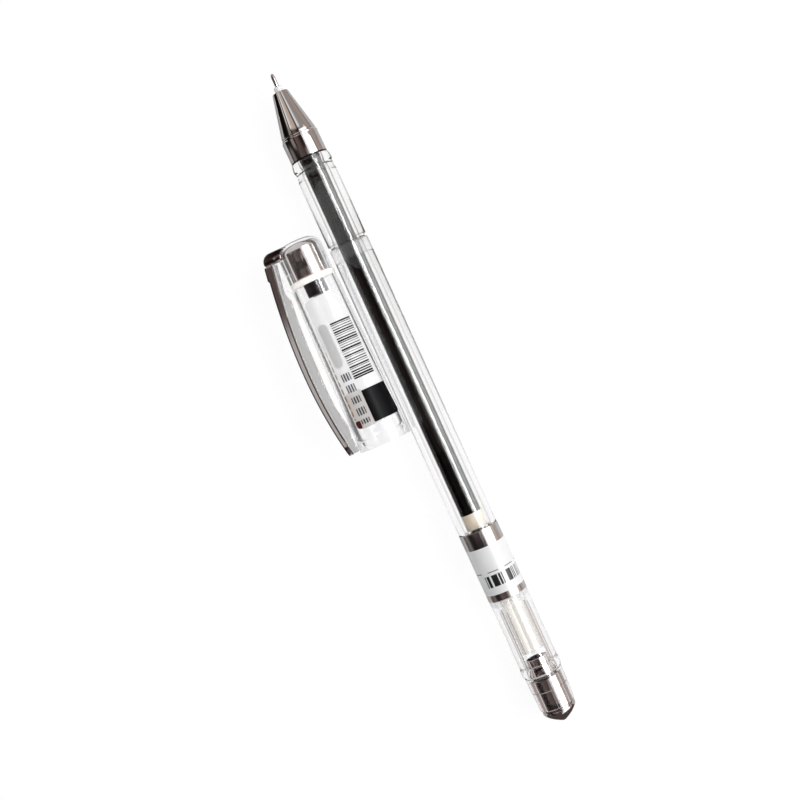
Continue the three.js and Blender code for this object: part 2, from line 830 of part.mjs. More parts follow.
const pen = new THREE.Group();
pen.position.set(-penLength / 2, barrelY, beadRadius);
pen.add(
  piece('needle_ball', makeBall(), materials.carbide),
  piece('needle_tube', makeNeedle(), materials.steel),
  piece('needle_holder', makeHolder(), materials.ivory),
  piece('refill_tube', makeRefillTube(), materials.refill),
  piece('ink_column', makeInk(), materials.ink),
  piece('ink_follower', makeFollower(), materials.grease),
  piece('nose_cone', makeNose(), materials.chrome),
  piece('barrel_grip', makeGrip(), materials.clear),
  piece('barrel_tube', makeTube(), materials.clear),
  piece('barrel_label', makeBarrelLabel(), materials.film),
  piece('tail_plug', makeTailPlug(), materials.chrome),
);

// The cap lies on its tapered side, so its axis climbs towards the mouth
const cap = new THREE.Group();
const capAxisHeight = capTopRadius * Math.cos(capTaper) - capCornerRadius * Math.sin(capTaper);
cap.position.set(capStation - penLength / 2, capY, capAxisHeight);
cap.rotation.y = -capTaper;
cap.add(
  piece('cap_shell', makeCapShell(), materials.clear),
  piece('cap_insert', makeCapInsert(), materials.chrome),
  piece('cap_seal_ring', makeSealRing(), materials.ivory),
  piece('needle_seal', makeNeedleSeal(), materials.liner),
  piece('cap_label', makeCapLabel(), materials.film),
  piece('clip_strip', makeClipStrip(), materials.chrome),
  piece('clip_arm', makeClipArm(), materials.clear),
);

const cappedPen = new THREE.Group();
cappedPen.add(pen, cap);

export default cappedPen;
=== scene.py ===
import math

import bmesh
import bpy
from mathutils import Matrix, Vector


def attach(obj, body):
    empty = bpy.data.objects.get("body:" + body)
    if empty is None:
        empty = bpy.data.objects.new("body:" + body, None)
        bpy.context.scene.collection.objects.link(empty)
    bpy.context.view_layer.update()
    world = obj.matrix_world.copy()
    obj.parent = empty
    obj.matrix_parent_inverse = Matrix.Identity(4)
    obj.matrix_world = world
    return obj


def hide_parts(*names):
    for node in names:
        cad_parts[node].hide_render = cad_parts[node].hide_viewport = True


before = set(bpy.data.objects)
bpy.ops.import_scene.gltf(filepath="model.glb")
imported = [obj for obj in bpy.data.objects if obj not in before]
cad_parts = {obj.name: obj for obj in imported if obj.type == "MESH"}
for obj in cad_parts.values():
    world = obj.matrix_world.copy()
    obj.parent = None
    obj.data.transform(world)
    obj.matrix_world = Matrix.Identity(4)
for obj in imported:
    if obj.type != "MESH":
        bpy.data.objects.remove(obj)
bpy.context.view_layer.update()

# A clear gel pen on its side, with its cap beside it. Sizes are in millimetres until a mesh is placed.
# A station runs along the pen from the front of the ball, a depth along the cap from its closed end,
# and a reach from the cap's axis towards the clip.
MM = 0.001

PEN_LENGTH = 143.65
BEAD_RADIUS = 4.2
PEN_Y = 7.5279
CAP_Y = -2.12791
CAP_STATION = 33.0
CAP_LENGTH = 44.4
CAP_TOP_RADIUS = 4.725
CAP_MOUTH_RADIUS = 5.6
CAP_CORNER = 2.4
CAP_TAPER = math.atan2(CAP_MOUTH_RADIUS - CAP_TOP_RADIUS, CAP_LENGTH - CAP_CORNER)
CAP_HEIGHT = CAP_TOP_RADIUS * math.cos(CAP_TAPER) - CAP_CORNER * math.sin(CAP_TAPER)

PEN = Matrix.Translation(Vector((-PEN_LENGTH / 2, PEN_Y, BEAD_RADIUS)) * MM)
CAP = (
    Matrix.Translation(Vector((CAP_STATION - PEN_LENGTH / 2, CAP_Y, CAP_HEIGHT)) * MM)
    @ Matrix.Rotation(-CAP_TAPER, 4, "Y")
)


# ---------- shapes ----------


def between(a, b, x):
    """Height at x of the straight line from a to b"""
    return a[1] + (b[1] - a[1]) * (x - a[0]) / (b[0] - a[0])


def spread(a, b, count):
    """count + 1 even steps from a to b"""
    return [a + (b - a) * i / count for i in range(count + 1)]


def arc(x, y, radius, start, end, steps=8):
    """Points of an arc, angles in degrees"""
    angles = [math.radians(a) for a in spread(start, end, steps)]
    return [(x + radius * math.cos(a), y + radius * math.sin(a)) for a in angles]


def eased(profile, radius=0.08, closed=True, steps=3, least=14):
    """The profile with each corner sharper than least degrees rounded off, as a mould leaves it"""
    points = [Vector(p) for p in profile]
    count = len(points)
    result = []
    for i, p in enumerate(points):
        if not closed and i in (0, count - 1):
            result.append(tuple(p))
            continue
        before = points[i - 1] - p
        after = points[(i + 1) % count] - p
        turn = 180 - math.degrees(before.angle(after, math.pi))
        if turn < least:
            result.append(tuple(p))
            continue
        cut = min(radius, 0.42 * before.length, 0.42 * after.length)
        a = p + before.normalized() * cut
        b = p + after.normalized() * cut
        for t in spread(0, 1, steps):
            result.append(tuple(a * (1 - t) ** 2 + p * 2 * t * (1 - t) + b * t**2))
    return result


def finished(bm, name, smooth=32):
    """A mesh in metres, smooth but for edges sharper than the given angle"""
    bmesh.ops.scale(bm, vec=(MM, MM, MM), verts=bm.verts)
    bmesh.ops.recalc_face_normals(bm, faces=bm.faces)
    mesh = bpy.data.meshes.new(name)
    bm.to_mesh(mesh)
    bm.free()
    for polygon in mesh.polygons:
        polygon.use_smooth = True
    mesh.set_sharp_from_angle(angle=math.radians(smooth))
    return mesh


def turned(name, profile, sides=144, thread=None, smooth=32):
    """A piece turned about its station axis; thread changes a point's radius by its angle"""
    bm = bmesh.new()
    solid = profile[0][1] == 0 and profile[-1][1] == 0
    rings = []
    for x, radius in profile:
        if radius == 0:
            rings.append([bm.verts.new((x, 0, 0))])
            continue
        ring = []
        for i in range(sides):
            angle = 2 * math.pi * i / sides
            r = thread(x, radius, angle) if thread else radius
            ring.append(bm.verts.new((x, r * math.sin(angle), r * math.cos(angle))))
        rings.append(ring)
    pairs = list(zip(rings, rings[1:]))
    if not solid:
        pairs.append((rings[-1], rings[0]))
    for a, b in pairs:
        for i in range(sides):
            j = (i + 1) % sides
            if len(a) == 1:
                bm.faces.new((a[0], b[i], b[j]))
            elif len(b) == 1:
                bm.faces.new((a[j], a[i], b[0]))
            else:
                bm.faces.new((a[j], a[i], b[i], b[j]))
    return finished(bm, name, smooth)


def lofted(name, sections, smooth=32):
    """A skin over sections with the same number of points, closed at both ends"""
    bm = bmesh.new()
    rings = [[bm.verts.new(p) for p in section] for section in sections]
    count = len(rings[0])
    for a, b in zip(rings, rings[1:]):
        for i in range(count):
            j = (i + 1) % count
            bm.faces.new((a[i], a[j], b[j], b[i]))
    bm.faces.new(rings[0])
    bm.faces.new(list(reversed(rings[-1])))
    return finished(bm, name, smooth)


def plate(name, outline, width, bevel=0.12, smooth=32):
    """An upright plate with an outline of depth and reach, its edges rounded"""
    bm = bmesh.new()
    face = bm.faces.new([bm.verts.new((x, -reach, -width / 2)) for x, reach in outline])
    moved = bmesh.ops.extrude_face_region(bm, geom=[face])["geom"]
    top = [v for v in moved if isinstance(v, bmesh.types.BMVert)]
    bmesh.ops.translate(bm, verts=top, vec=(0, 0, width))
    bmesh.ops.recalc_face_normals(bm, faces=bm.faces)
    if bevel:
        edges = [e for e in bm.edges if e.calc_face_angle(0) > math.radians(35)]
        bmesh.ops.bevel(bm, geom=edges, offset=bevel, segments=3, affect="EDGES", profile=0.5)
    return finished(bm, name, smooth)


def placed(name, mesh, at, body, nodes, material):
    """A piece at a place, riding on a body, standing for its CAD nodes"""
    mesh.transform(at.to_3x3().to_4x4())
    piece = bpy.data.objects.new(name, mesh)
    bpy.context.scene.collection.objects.link(piece)
    piece.location = at.translation
    mesh.materials.append(material)
    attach(piece, body)
    if nodes:
        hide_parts(*nodes)
    return piece


# ---------- materials ----------


def seen(*colour):
    """The linear value of a colour as it shows, each channel from 0 to 255"""
    return tuple((c / 255 + 0.055) ** 2.4 / 1.055**2.4 if c > 10 else c / 3294 for c in colour)


class Wire:
    """A node's output in a tree. Operators on it add Math nodes."""

    def __init__(self, tree, socket=None):
        self.tree = tree
        self.socket = socket

    def node(self, kind, settings=None, inputs=None, out=0):
        """Adds a node, its settings first, then its inputs' values or wires"""
        node = self.tree.nodes.new(kind)
        for key, value in (settings or {}).items():
            if key == "stops":
                ramp = node.color_ramp
                while len(ramp.elements) < len(value):
                    ramp.elements.new(0.5)
                for element, (position, colour) in zip(ramp.elements, value):
                    element.position = position
                    element.color = (*colour, 1)
            elif key == "interpolation":
                node.color_ramp.interpolation = value
            else:
                setattr(node, key, value)
        for key, value in (inputs or {}).items():
            self.feed(node.inputs[key], value)
        return Wire(self.tree, node.outputs[out])

    def feed(self, socket, value):
        if isinstance(value, Wire):
            self.tree.links.new(value.socket, socket)
        elif isinstance(value, tuple) and len(value) == 3 and socket.type == "RGBA":
            socket.default_value = (*value, 1)
        else:
            socket.default_value = value

    def maths(self, operation, *values):
        return self.node("ShaderNodeMath", {"operation": operation}, dict(enumerate(values)))

    def __add__(self, other):
        return self.maths("ADD", self, other)

    def __radd__(self, other):
        return self.maths("ADD", other, self)

    def __sub__(self, other):
        return self.maths("SUBTRACT", self, other)

    def __rsub__(self, other):
        return self.maths("SUBTRACT", other, self)

    def __mul__(self, other):
        return self.maths("MULTIPLY", self, other)

    def __rmul__(self, other):
        return self.maths("MULTIPLY", other, self)

    def __truediv__(self, other):
        return self.maths("DIVIDE", self, other)

    def __gt__(self, other):
        return self.maths("GREATER_THAN", self, other)

    def __lt__(self, other):
        return self.maths("LESS_THAN", self, other)

    def __or__(self, other):
        return self.maths("MAXIMUM", self, other)

    def __and__(self, other):
        return self.maths("MULTIPLY", self, other)

    def within(self, low, high):
        """1 between two values, otherwise 0"""
        return (self > low) & (self < high)

    def split(self):
        xyz = self.node("ShaderNodeSeparateXYZ", None, {0: self})
        return [Wire(self.tree, s) for s in xyz.socket.node.outputs]

    def mixed(self, a, b):
        """Colour a where this wire is 0, b where it is 1"""
        settings = {"data_type": "RGBA", "clamp_factor": True}
        return self.node("ShaderNodeMix", settings, {0: self, 6: a, 7: b}, out=2)

    def noise(self, place, scale, detail=3.0, roughness=0.5):
        values = {"Vector": place, "Scale": scale, "Detail": detail, "Roughness": roughness}
        return self.node("ShaderNodeTexNoise", None, values)

    def ramp(self, *stops, interpolation="LINEAR"):
        settings = {"stops": stops, "interpolation": interpolation}
        return self.node("ShaderNodeValToRGB", settings, {0: self})


def material(name, **values):
    """A material, its shader's constant values by socket name, and the piece's own coordinates in metres"""
    made = bpy.data.materials.new(name)
    made.use_nodes = True
    shader = made.node_tree.nodes["Principled BSDF"]
    for key, value in values.items():
        socket = shader.inputs[key.replace("_", " ")]
        socket.default_value = (*value, 1) if socket.type == "RGBA" and len(value) == 3 else value
    wire = Wire(made.node_tree)
    place = wire.node("ShaderNodeTexCoord", out=3)
    return made, shader, wire, place


def bumped(wire, shader, height, strength, distance):
    values = {"Strength": strength, "Distance": distance, "Height": height}
    wire.feed(shader.inputs["Normal"], wire.node("ShaderNodeBump", None, values))


def clear_plastic(name, tint, ior, ripple, trap=0):
    """Clear moulded plastic: a polished skin with faint flow marks and hair-fine rub marks.

    Where trap is given, light past that many bounces ends in pale emission in place of black.
    """
    made, shader, wire, place = material(name, Base_Color=tint, IOR=ior, Transmission_Weight=1.0,
                                         Specular_IOR_Level=0.25)
    stretched = wire.node("ShaderNodeMapping", None, {"Vector": place, "Scale": (60, 700, 700)})
    rubs = wire.noise(stretched, 3.0, 4.0, 0.6)
    wire.feed(shader.inputs["Roughness"], 0.03 * ((rubs - 0.55) | 0.0))
    flow = wire.noise(place, 180.0, 1.0, 0.4)
    bumped(wire, shader, flow, ripple, 0.00002)
    if trap:
        path = wire.node("ShaderNodeLightPath").socket.node.outputs
        bounces = Wire(made.node_tree, path["Ray Depth"])
        glass = Wire(made.node_tree, shader.outputs[0])
        pale = wire.node("ShaderNodeEmission", None, {"Color": (0.75, 0.75, 0.75), "Strength": 1.0})
        skin = wire.node("ShaderNodeMixShader", None, {0: bounces > trap, 1: glass, 2: pale})
        wire.feed(made.node_tree.nodes["Material Output"].inputs[0], skin)
    return made


def chrome(name, tint, dark, polish):
    """Bright plating: a warm grey mirror with a faint orange peel and fine rubbing"""
    made, shader, wire, place = material(name, Metallic=1.0)
    stretched = wire.node("ShaderNodeMapping", None, {"Vector": place, "Scale": (90, 900, 900)})
    rubs = wire.noise(stretched, 4.0, 4.0, 0.6)
    wire.feed(shader.inputs["Base Color"], rubs.mixed(dark, tint))
    wire.feed(shader.inputs["Roughness"], polish + 0.06 * ((rubs - 0.5) | 0.0))
    peel = wire.noise(place, 900.0, 2.0, 0.5)
    bumped(wire, shader, peel, 0.02, 0.00001)
    return made


def plain(name, light, dark, roughness, **values):
    """A moulded or cast finish whose colour clouds a little, with a fine grain"""
    made, shader, wire, place = material(name, **values)
    cloud = wire.noise(place, 400.0, 3.0, 0.55)
    wire.feed(shader.inputs["Base Color"], cloud.mixed(dark, light))
    wire.feed(shader.inputs["Roughness"], roughness + 0.1 * (cloud - 0.5))
    grain = wire.noise(place, 6000.0, 2.0, 0.5)
    bumped(wire, shader, grain, 0.05, 0.00001)
    return made


def bars(wire, along, module, seed):
    """A random number from 0 to 1 for each step along a line"""
    cell = wire.maths("FLOOR", along / module)
    return wire.node("ShaderNodeTexWhiteNoise", {"noise_dimensions": "1D"}, {"W": cell + seed})


def code(wire, along, module, seed):
    """Bars of random widths at even steps: 1 on a bar"""
    width = bars(wire, along, module, seed)
    return wire.maths("FRACT", along / module) < 0.2 + 0.6 * width


def barrel_film():
    """Film round the barrel: white, with foil bands at both ends, a rule and a block of plain bars"""
    made, shader, wire, place = material("printed_barrel_film")
    x, y, z = place.split()
    station = x / MM
    angle = wire.maths("ARCTAN2", y * -1.0, z)
    foil = station.within(101.15, 104.5) | station.within(114.3, 115.7)
    rule = station.within(109.53, 109.68) & (wire.maths("FRACT", angle * 1.1 + 0.45) > 0.4)
    lines = bars(wire, angle, 0.052, 3.0) > 0.46
    block = lines & station.within(110.3, 112.7) & angle.within(-1.62, 0.84)
    ink = rule | block
    cloud = wire.noise(place, 300.0, 3.0, 0.5)
    paper = cloud.mixed((0.8, 0.8, 0.81), (0.9, 0.9, 0.9))
    silver = cloud.mixed((0.74, 0.71, 0.69), (0.82, 0.79, 0.77))
    base = ink.mixed(foil.mixed(paper, silver), (0.012, 0.012, 0.014))
    wire.feed(shader.inputs["Base Color"], base)
    wire.feed(shader.inputs["Metallic"], foil)
    wire.feed(shader.inputs["Roughness"], 0.3 - 0.14 * foil)
    wire.feed(shader.inputs["Alpha"], 1.0 - 0.85 * (station > 115.7))
    bumped(wire, shader, cloud, 0.04, 0.00002)
    return made


def rounded(wire, x, y, left, right, low, high, radius):
    """1 inside a rectangle with rounded corners, otherwise 0"""
    half_x, half_y = (right - left) / 2 - radius, (high - low) / 2 - radius
    dx = (wire.maths("ABSOLUTE", x - (left + right) / 2) - half_x) | 0.0
    dy = (wire.maths("ABSOLUTE", y - (low + high) / 2) - half_y) | 0.0
    return (dx * dx + dy * dy) < radius**2


def cap_film():
    """Film on the cap: milky, with plain bars, a grey lozenge, a row of small blocks and a dark field"""
    made, shader, wire, place = material("printed_cap_film", Specular_IOR_Level=0.05)
    upright = wire.node("ShaderNodeMapping", None, {"Vector": place, "Rotation": (0, CAP_TAPER, 0)})
    x, y, _ = upright.split()
    depth = x / MM
    across = y / -MM
    strip = rounded(wire, depth, across, 18.3, 30.5, -3.74, 0.43, 0.05)
    lines = strip & code(wire, depth, 0.47, 11.0)
    grey = bars(wire, depth, 2.1, 9.0) > 0.85
    dark_lines = lines & (1 - grey)
    grey_lines = lines & grey
    field = rounded(wire, depth, across, 32.9, 39.7, -5.1, 0.23, 0.25)
    lozenge = rounded(wire, depth, across, 17.8, 27.1, 1.12, 3.09, 0.9)
    beige = depth.within(32.5, 40.1) & across.within(0.2, 3.9)
    blocks = None
    for start, end in ((28.5, 30.1), (30.9, 32.5), (33.5, 34.85), (35.85, 37.4), (38.2, 39.2)):
        block = rounded(wire, depth, across, start, end, 0.9, 2.7, 0.15)
        blocks = block if blocks is None else blocks | block
    slots = wire.maths("FRACT", across * 1.8) > 0.42
    blocks = blocks & slots
    dashes = (wire.maths("FRACT", depth * 0.62) > 0.3) & across.within(3.55, 3.85) & depth.within(17.5, 37.9)
    patch = rounded(wire, depth, across, 38.2, 39.8, 2.9, 3.9, 0.3)
    ink = dark_lines | field
    milk = wire.noise(place, 250.0, 2.0, 0.5).mixed((0.94, 0.94, 0.93), (0.98, 0.98, 0.98))
    base = lozenge.mixed(milk, (0.7, 0.7, 0.7))
    base = beige.mixed(base, (0.72, 0.68, 0.65))
    base = grey_lines.mixed(base, (0.3, 0.3, 0.3))
    base = blocks.mixed(base, (0.06, 0.06, 0.07))
    base = dashes.mixed(base, (0.34, 0.2, 0.08))
    base = patch.mixed(base, (0.1, 0.02, 0.015))
    base = ink.mixed(base, (0.004, 0.004, 0.005))
    wire.feed(shader.inputs["Base Color"], base)
    solid = (ink | grey_lines) | (blocks | dashes) | patch
    wire.feed(shader.inputs["Alpha"], 0.3 + 0.3 * (beige | lozenge) + 0.7 * solid)
    wire.feed(shader.inputs["Roughness"], 0.25 + 0.1 * solid)
    return made


CLEAR = (0.98, 0.98, 0.985)
clear_barrel = clear_plastic("clear_barrel_plastic", CLEAR, 1.56, 0.001)
clear_cap = clear_plastic("clear_cap_plastic", CLEAR, 1.56, 0.001, trap=5.5)
# The arm's grey tint is painted shade: it darkens what shows through the arm, as the table under the clip lies
# in shadow
clear_arm_painted_shade = clear_plastic("clear_arm_plastic_painted_shade", (0.52, 0.515, 0.515), 1.56, 0.003)
clear_refill = clear_plastic("clear_refill_plastic", (0.98, 0.965, 0.935), 1.49, 0.001)
nose_plating = chrome("nose_plating", (0.8, 0.77, 0.755), (0.7, 0.67, 0.655), 0.05)
trim_plating = chrome("trim_plating", (0.78, 0.74, 0.73), (0.66, 0.62, 0.61), 0.04)
clip_plating = chrome("clip_plating", (0.72, 0.68, 0.67), (0.6, 0.55, 0.54), 0.06)
# A darker copy of the clip's plating for the elbow: painted shade
elbow_plating_painted_shade = chrome("elbow_plating_painted_shade", (0.5, 0.45, 0.44), (0.36, 0.31, 0.3), 0.08)
# A near-black copy of the plating: painted shade, on the nose cone's rear edge and on the clip strip's rounded
# edges
painted_shade_plating = chrome("painted_shade_plating", (0.08, 0.065, 0.06), (0.04, 0.032, 0.03), 0.15)
needle_steel = chrome("needle_steel", (0.74, 0.71, 0.68), (0.62, 0.59, 0.56), 0.06)
carbide = chrome("ball_carbide", (0.42, 0.42, 0.43), (0.32, 0.32, 0.33), 0.12)
black_ink = plain("black_gel_ink", (0.001, 0.001, 0.0012), (0.0004, 0.0004, 0.0005), 0.06,
                  Specular_IOR_Level=0.06)
follower = plain("follower_grease", (0.93, 0.86, 0.74), (0.88, 0.8, 0.67), 0.3)
dark_spigot = plain("dark_spigot", (0.012, 0.011, 0.011), (0.007, 0.006, 0.006), 0.12)
# This plastic glows a little: painted light, so that the seal ring shows pale though the clear cap shades it
ivory_painted_glow = plain("ivory_plastic_painted_glow", (0.97, 0.94, 0.9), (0.93, 0.9, 0.85), 0.4,
              Emission_Color=(1.0, 0.93, 0.86), Emission_Strength=0.16)
holder = plain("holder_acetal", (0.92, 0.91, 0.89), (0.86, 0.85, 0.83), 0.3)
liner = plain("soft_liner", (0.78, 0.78, 0.77), (0.7, 0.7, 0.69), 0.55)
# Near black: painted shade in the hollow of the tail plug's spigot
shaded_bore = plain("bore_painted_shade", (0.01, 0.009, 0.009), (0.006, 0.005, 0.005), 0.45, Specular_IOR_Level=0.15)
barrel_print = barrel_film()
cap_print = cap_film()

# ---------- the pen ----------

HOLE = 0.98
THREAD_BORE = 3.3
NOSE_FRONT, NOSE_REAR = 4.1, 18.8
INNER_CONE = ((5.3, HOLE), (12.6, 2.6))


def holder_station(radius):
    """Station where the holder's cone reaches a radius"""
    (x0, r0), (x1, r1) = INNER_CONE
    return x0 + (radius + 0.2 - r0) * (x1 - x0) / (r1 - r0)


REFILL_FRONT = holder_station(2.2) + 2.2
HOLDER_REAR = REFILL_FRONT + 5
INK_FRONT = HOLDER_REAR + 0.05
INK_REAR = INK_FRONT + 78.6
INK_RADIUS = 1.806
MENISCUS = 0.55
# The photo shows the refill's tube ending here, in front of the plug; its solid ends at 129
TUBE_END = 127.9


def make_needle():
    ball = [(0.25 - 0.25 * math.cos(a), 0.25 * math.sin(a)) for a in spread(0, math.pi, 24)]
    ball[0], ball[-1] = (0, 0), (0.5, 0)
    placed("rolling_ball", turned("rolling_ball", ball, 48), PEN, "ball", ["needle_ball"], carbide)
    tube = [
        (0.15, 0.244), (0.15, 0.289), (0.7, 0.42), (8.9, 0.42),
        (8.9, 0.15), (0.54, 0.15), (0.425, 0.265), (0.25, 0.265),
    ]
    mesh = turned("point_tube", eased(tube, 0.03), 64)
    placed("point_tube", mesh, PEN, "refill", ["needle_tube"], needle_steel)
    grip = [
        (2.9, 0.45), (2.9, 0.8), (3.1, 0.9), (holder_station(0.9), 0.9), (holder_station(2.2), 2.2),
        (REFILL_FRONT - 0.05, 2.2), (REFILL_FRONT - 0.05, 1.77), (HOLDER_REAR - 0.2, 1.77), (HOLDER_REAR, 1.57),
        (HOLDER_REAR, 0.6), (8.95, 0.6), (8.95, 0.45),
    ]
    mesh = turned("point_holder", eased(grip, 0.08), 96)
    placed("point_holder", mesh, PEN, "refill", ["needle_holder"], holder)


def make_refill():
    tube = [(REFILL_FRONT, 1.8), (REFILL_FRONT, 2.2), (TUBE_END, 2.2), (TUBE_END, 1.8)]
    mesh = turned("ink_tube", eased(tube, 0.06), 144)
    placed("ink_tube", mesh, PEN, "refill", ["refill_tube"], clear_refill)
    bulge = [(INK_REAR + MENISCUS * math.sin(a), INK_RADIUS * math.cos(a)) for a in spread(0, math.pi / 2, 12)]
    bulge[-1] = (INK_REAR + MENISCUS, 0)
    mesh = turned("gel_ink", [(INK_FRONT, 0), (INK_FRONT, INK_RADIUS), *bulge], 128)
    placed("gel_ink", mesh, PEN, "refill", ["ink_column"], black_ink)
    front = [(x + 0.03, r) for x, r in reversed(bulge)]
    rear = INK_REAR + 3.55
    back = [(rear + 0.35 * math.sin(a), INK_RADIUS * math.cos(a)) for a in spread(0, math.pi / 2, 10)]
    back = [(x - 0.35, r) for x, r in back]
    back[-1] = (rear, 0)
    mesh = turned("grease_plug", front + back, 128)
    placed("grease_plug", mesh, PEN, "refill", ["ink_follower"], follower)


PITCH = 0.85


def screw(front, rear, outward):
    """Ridges of a thread between two stations, cut in from a spigot's skin or out from a bore's"""

    def cut(x, radius, angle):
        if not front < x < rear:
            return radius
        fade = min(1, (x - front) / 0.4, (rear - x) / 0.4)
        phase = (x / PITCH - angle / (2 * math.pi)) % 1
        groove = max(0, min(1, 3 * abs(phase - 0.5) - 0.25))
        return radius + outward * fade * 0.16 * groove

    return cut


def make_nose():
    cone = (12.2, 3.47)
    skirt = (14.2, 3.81)
    slope = (3.47 - 1.71) / 8.1
    crest = Vector((cone[0] + 0.33 / slope, 3.79))
    a, b = Vector(cone), Vector(skirt)
    shoulder = [tuple(a * (1 - t) ** 2 + crest * 2 * t * (1 - t) + b * t**2) for t in spread(0, 1, 16)]
    ring = 13.35
    outer = [p for p in shoulder if p[0] < ring - 0.04] + [
        (ring - 0.03, 3.68), (ring, 3.64), (ring + 0.03, 3.57),
        (ring + 0.17, 3.58), (ring + 0.2, 3.68), (ring + 0.23, 3.71),
    ] + [p for p in shoulder if p[0] > ring + 0.26]
    bore = [(x, THREAD_BORE) for x in spread(NOSE_REAR - 0.25, 13.3, 60)]
    profile = [
        (NOSE_FRONT, HOLE), *arc(4.35, 1.46, 0.25, 180, 102, 6), *outer,
        (18.5, 3.898), (18.6, 3.895), (18.7, 3.85),
        (NOSE_REAR, 3.72), (NOSE_REAR, THREAD_BORE + 0.12), *bore, (12.6, 2.6), (5.3, HOLE),
    ]
    mesh = turned("nose_cone_skin", profile, 144, screw(13.6, 18.5, 1), 24)
    placed("nose_cone_skin", mesh, PEN, "nose", ["nose_cone"], nose_plating)
    # The rear edge's faces take the near-black plating: a painted dark line of shade where the cone meets the
    # barrel
    mesh.materials.append(painted_shade_plating)
    for face in mesh.polygons:
        face.material_index = int(face.center.x > 18.45 * MM)


def make_barrel():
    spigot = [(x, 3.25) for x in spread(13.9, 18.6, 60)]
    grip = [
        (13.65, 2.45), (13.65, 3.05), (13.8, 3.24), *spigot, (18.85, 3.25), (18.85, 3.95),
        (18.98, 4.02), (19.4, 4.1), (19.9, 4.19), (20.2, 4.2), (20.5, 4.17), (20.75, 4.06), (20.85, 3.99),
        (22.25, 3.99), (22.45, 4.15), (37.05, 4.15), (37.05, 3.75), (37.7, 3.75), (37.7, 3.456),
        (40.855, 3.456), (40.855, 2.75), (21.15, 2.75), (20.85, 2.45),
    ]
    mesh = turned("grip_section", eased(grip, 0.09, least=20), 160, screw(14.0, 18.5, -1), 24)
    placed("grip_section", mesh, PEN, "barrel", ["barrel_grip"], clear_barrel)
    bore = 2.925
    tail = [
        (37.75, 3.45), (37.75, 3.98), (37.85, 4.11), (38.0, 4.148),
        (130.65, 4.05), (130.72, 3.97), (130.85, 3.97),
        (131.0, 4.1), (131.3, 4.2), (132.3, 4.2), (132.65, 4.12), (132.85, 3.94),
        (136.15, 3.905), (136.22, 3.83), (139.9, 3.765), *arc(140.0, 3.56, 0.2, 80, 0, 5),
        (140.2, 3.47), (140.15, 3.42), (133.05, 3.42), (133.05, bore), (40.85, bore), (40.85, 3.45),
    ]
    mesh = turned("rear_section", eased(tail, 0.08, least=20), 160, None, 24)
    placed("rear_section", mesh, PEN, "barrel", ["barrel_tube"], clear_barrel)


def make_tail_plug():
    dome = [(141.1 + 2.55 * t, 0.45 + 3.05 * (1 - t**1.5)) for t in spread(0, 1, 20)]
    profile = [
        (138.8, 0), (138.0, 1.55), (131.2, 1.6),
        (129.42, 2.02), (129.32, 2.07), (129.3, 2.13), (129.4, 2.27), (129.5, 2.3),
        (133.1, 2.3), (133.1, 2.67), (133.36, 2.73), (133.6, 2.87), (133.76, 3.1), (133.8, 3.37),
        (140.24, 3.37), (140.25, 3.4), (140.34, 3.5), (140.5, 3.5), (140.6, 3.4), (140.67, 3.32),
        (140.74, 3.4), (140.84, 3.5), *dome, (143.65, 0),
    ]
    mesh = turned("tail_plug_skin", eased(profile, 0.06, closed=False, least=25), 144, None, 28)
    placed("tail_plug_skin", mesh, PEN, "barrel", ["tail_plug"], trim_plating)
    # The faces inside the spigot's hollow take the painted shade
    mesh.materials.append(shaded_bore)
    for face in mesh.polygons:
        x, y, z = face.center / MM
        face.material_index = int(x < 138.9 and math.hypot(y, z) < 2.1)


def make_barrel_film():
    def skin(x):
        return between((37.75, 4.15), (130.65, 4.05), x) + 0.02

    front, rear = 101.15, 117.1
    profile = [(front, skin(front)), (front, skin(front) + 0.08)]
    profile += [(rear, skin(rear) + 0.08), (rear, skin(rear))]
    mesh = turned("barrel_film", eased(profile, 0.03), 160)
    placed("barrel_film", mesh, PEN, "barrel", ["barrel_label"], barrel_print)


# ---------- the cap ----------

SEAL = 7.9
BORE_TOP = 4.125
BORE_MOUTH = 4.35
FLARE = CAP_LENGTH - 1.3
ELBOW_FRONT, ELBOW_REAR = 0.15, 2.25
STRIP_FRONT = 2.6
STRIP_END = CAP_LENGTH - 0.35
PEAK_DEPTH, PEAK = 25.8, 9.59
ROOT_DEPTH, ROOT = 5.5, 8.05
TIP = 7.85
ARM_ROOT, ARM_SWELL = 8.7, 10.4
WEDGE_FRONT, WEDGE_PEAK, WEDGE_END = 33.9, 38.6, 40.7
SEAT_GAP = 0.05


def cap_outer(depth):
    return between((CAP_CORNER, CAP_TOP_RADIUS), (CAP_LENGTH, CAP_MOUTH_RADIUS), depth)


def cap_bore(depth):
    return between((SEAL, BORE_TOP), (FLARE, BORE_MOUTH), depth)


def strip_reach(depth):
    """Reach of the clip strip's outer face"""
    if depth < PEAK_DEPTH:
        return PEAK - (PEAK - ROOT) * ((depth - PEAK_DEPTH) / (ROOT_DEPTH - PEAK_DEPTH)) ** 2
    return PEAK - (PEAK - TIP) * ((depth - PEAK_DEPTH) / (STRIP_END - PEAK_DEPTH)) ** 2


def strip_thickness(depth):
    if depth < PEAK_DEPTH:
        return between((STRIP_FRONT, 1.45), (PEAK_DEPTH, 1.15), depth)
    return between((PEAK_DEPTH, 1.15), (STRIP_END, 1.0), depth)


def facing(depth):
    """Reach of the face that strip and arm share"""
    return strip_reach(depth) - strip_thickness(depth)


def boolean(piece, other, operation):
    """Joins or cuts with another mesh, which goes"""
    change = piece.modifiers.new(operation.lower(), "BOOLEAN")
    change.operation = operation
    change.solver = "EXACT"
    change.object = other
    bpy.context.view_layer.objects.active = piece
    bpy.ops.object.modifier_apply(modifier=change.name)
    bpy.data.objects.remove(other)


def loose(mesh):
    piece = bpy.data.objects.new(mesh.name, mesh)
    bpy.context.scene.collection.objects.link(piece)
    return piece


